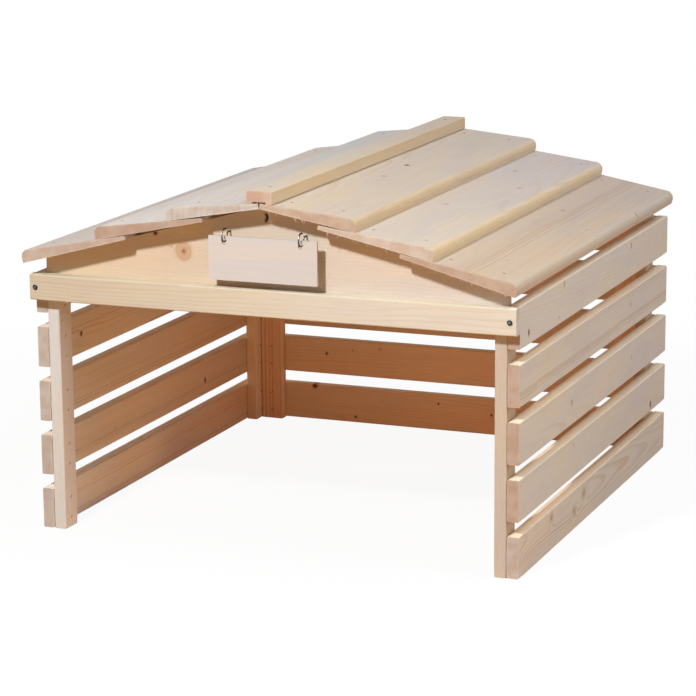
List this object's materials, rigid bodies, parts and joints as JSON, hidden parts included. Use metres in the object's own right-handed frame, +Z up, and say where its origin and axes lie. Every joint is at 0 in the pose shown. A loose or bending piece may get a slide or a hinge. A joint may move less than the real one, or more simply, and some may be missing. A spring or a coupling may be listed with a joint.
{
  "type": "slatted pet shelter",
  "caption": "Open-fronted slatted timber shelter for a small pet, with a lapped pitched roof, ridge cap and a blank board swinging on screw hooks at the gable.",
  "frame": {"origin": "on the ground, midway between the side walls and midway along the roof", "axes": "+X to the right seen from the open front, +Y from the open front to the back wall, +Z up"},
  "size_m": [0.7362, 0.79, 0.5206],
  "materials": {
    "wall_timber": "planed, unpainted",
    "frame_timber": "planed, unpainted",
    "roof_timber": "planed, unpainted",
    "sign_ply": "sanded thin ply, blank",
    "staple_wire": "galvanised wire",
    "screw_steel": "dark coated",
    "hook_steel": "bright zinc plated"
  },
  "bodies": {
    "hutch": {"side_slat_left_1": "wall_timber", "side_slat_left_2": "wall_timber", "side_slat_left_3": "wall_timber", "side_slat_left_4": "wall_timber", "side_slat_left_5": "wall_timber", "side_slat_right_1": "wall_timber", "side_slat_right_2": "wall_timber", "side_slat_right_3": "wall_timber", "side_slat_right_4": "wall_timber", "side_slat_right_5": "wall_timber", "back_slat_1": "wall_timber", "back_slat_2": "wall_timber", "back_slat_3": "wall_timber", "back_slat_4": "wall_timber", "back_slat_5": "wall_timber", "front_post_left": "frame_timber", "front_post_right": "frame_timber", "rear_post_left": "frame_timber", "rear_post_right": "frame_timber", "back_post_left": "frame_timber", "back_post_right": "frame_timber", "front_beam": "frame_timber", "front_gable": "frame_timber", "rear_gable": "frame_timber", "roof_board_left_1": "roof_timber", "roof_board_left_2": "roof_timber", "roof_board_left_3": "roof_timber", "roof_board_right_1": "roof_timber", "roof_board_right_2": "roof_timber", "roof_board_right_3": "roof_timber", "ridge_cap": "roof_timber", "side_staples_left": "staple_wire", "side_staples_right": "staple_wire", "back_staples": "staple_wire", "roof_staples_left": "staple_wire", "roof_staples_right": "staple_wire", "cap_staples": "staple_wire", "beam_screws": "screw_steel", "front_gable_screws": "screw_steel", "rear_gable_screws": "screw_steel", "corner_screws": "screw_steel", "screw_hook_left": "hook_steel", "screw_hook_right": "hook_steel"},
    "sign": {"name_board": "sign_ply"}
  },
  "joints": [
    {"name": "sign_swing", "type": "hinge", "parent": "hutch", "child": "sign", "pos_m": [0, -0.384, 0.4455], "axis": [1, 0, 0], "range_deg": [-35, 17]}
  ]
}
